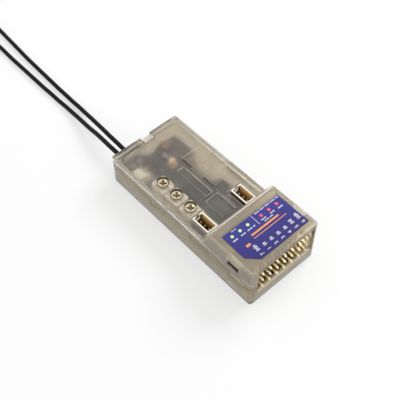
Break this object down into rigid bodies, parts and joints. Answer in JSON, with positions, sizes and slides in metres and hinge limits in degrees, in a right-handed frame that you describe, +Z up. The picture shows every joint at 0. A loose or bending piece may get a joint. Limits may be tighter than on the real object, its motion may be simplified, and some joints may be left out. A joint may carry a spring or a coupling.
{
  "type": "rc receiver",
  "caption": "Radio control receiver in a frosted snap-fit case with a raised hood over the servo pins, screwdriver trimmers, small sockets and two thin antenna cables.",
  "frame": {"origin": "middle of the case's underside, on the surface it lies on", "axes": "+X across the case to the side away from the trimmers, +Y along the case to the antenna end with the servo pins facing -Y, +Z up through the label"},
  "size_m": [0.0312, 0.1564, 0.0138],
  "materials": {
    "tub_plastic": "frosted translucent moulded plastic, smoke grey",
    "cover_plastic": "frosted translucent moulded plastic, smoke grey",
    "label_film": "printed film label, blue violet",
    "board": "dark solder mask on glass epoxy",
    "black_plastic": "black header insulator",
    "gold_pins": "gold plated contact pins",
    "white_plastic": "off-white moulded plastic",
    "brass": "plated brass",
    "chip_black": "black moulded chip package",
    "shield_metal": "tinned metal lid",
    "orange_epoxy": "orange capacitor resin",
    "peach_ceramic": "pale ceramic",
    "tan_ceramic": "tan ceramic",
    "green_lens": "clear green lamp lens",
    "red_lens": "clear red lamp lens",
    "black_cable": "black coaxial cable jacket",
    "white_dielectric": "bare cable dielectric",
    "grommet_rubber": "dark grey rubber",
    "tie_rubber": "black rubber band"
  },
  "bodies": {
    "receiver": {"base_tub": "tub_plastic", "top_cover": "cover_plastic", "label": "label_film", "main_board": "board", "header_block": "black_plastic", "header_pins_lower": "gold_pins", "header_pins_middle": "gold_pins", "header_pins_upper": "gold_pins", "left_socket": "white_plastic", "left_socket_pins": "gold_pins", "right_socket": "white_plastic", "right_socket_pins": "gold_pins", "trimmer_body_1": "white_plastic", "trimmer_body_2": "white_plastic", "trimmer_body_3": "white_plastic", "microcontroller": "chip_black", "motion_sensor": "chip_black", "radio_chip": "shield_metal", "radio_amplifier": "shield_metal", "radio_crystal": "shield_metal", "voltage_regulator": "chip_black", "tantalum_capacitor": "orange_epoxy", "ceramic_capacitor": "peach_ceramic", "chip_capacitors": "tan_ceramic", "status_led": "white_plastic", "green_leds": "green_lens", "red_leds": "red_lens", "antenna_plugs": "brass", "antenna_leads": "black_cable", "antenna_grommet": "grommet_rubber", "antenna_left": "black_cable", "antenna_left_coil": "black_cable", "antenna_left_tip": "white_dielectric", "antenna_left_tie": "tie_rubber", "antenna_right": "black_cable", "antenna_right_coil": "black_cable", "antenna_right_tip": "white_dielectric", "antenna_right_tie": "tie_rubber"},
    "rotor_1": {"trimmer_rotor_1": "brass"},
    "rotor_2": {"trimmer_rotor_2": "brass"},
    "rotor_3": {"trimmer_rotor_3": "brass"}
  },
  "joints": [
    {"name": "trimmer_turn_1", "type": "hinge", "parent": "receiver", "child": "rotor_1", "pos_m": [-0.00655, 0.00025, 0.0084], "axis": [0, 0, 1], "range_deg": [-130, 130]},
    {"name": "trimmer_turn_2", "type": "hinge", "parent": "receiver", "child": "rotor_2", "pos_m": [-0.00655, 0.00565, 0.0084], "axis": [0, 0, 1], "range_deg": [-130, 130]},
    {"name": "trimmer_turn_3", "type": "hinge", "parent": "receiver", "child": "rotor_3", "pos_m": [-0.00655, 0.01105, 0.0084], "axis": [0, 0, 1], "range_deg": [-130, 130]}
  ]
}
